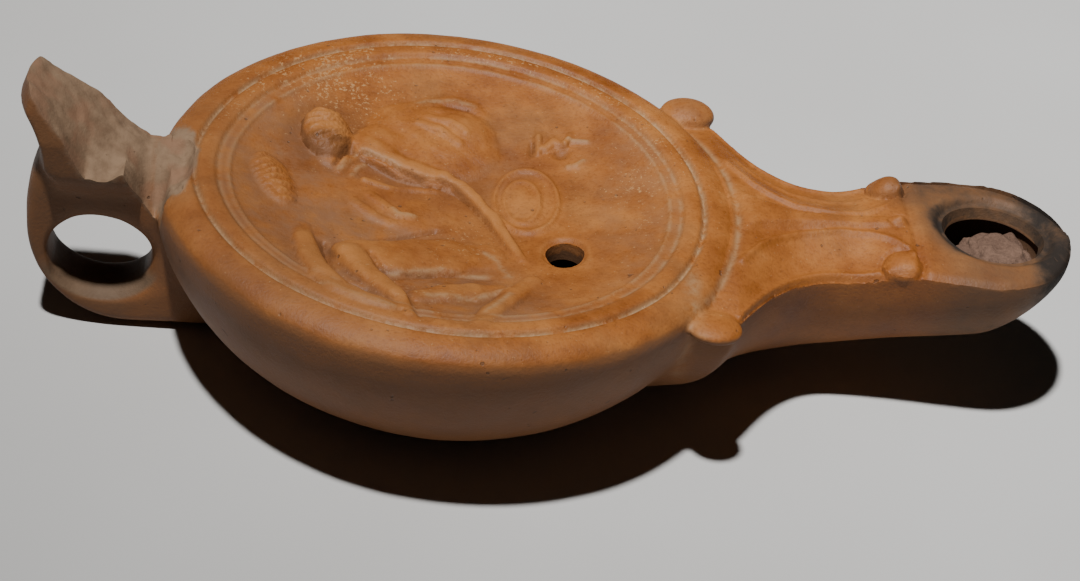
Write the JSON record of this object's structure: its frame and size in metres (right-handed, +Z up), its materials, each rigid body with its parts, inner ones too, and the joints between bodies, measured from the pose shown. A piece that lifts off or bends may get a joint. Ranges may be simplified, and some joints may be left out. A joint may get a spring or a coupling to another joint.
{
  "type": "roman oil lamp",
  "caption": "Hollow fired-clay oil lamp: round bowl, sunken disc with figure relief and filling hole, long volute nozzle with wick hole, ring handle under a broken-off ornament.",
  "frame": {"origin": "middle of the flat base, on its underside", "axes": "+X out along the nozzle, away from the handle; +Z up out of the disc; +Y completes the right-handed frame"},
  "size_m": [0.1519, 0.084, 0.0415],
  "materials": {
    "fired_clay": "matte, worn reddish-brown slip"
  },
  "bodies": {
    "root": {"clay_lamp": "fired_clay"}
  },
  "joints": []
}
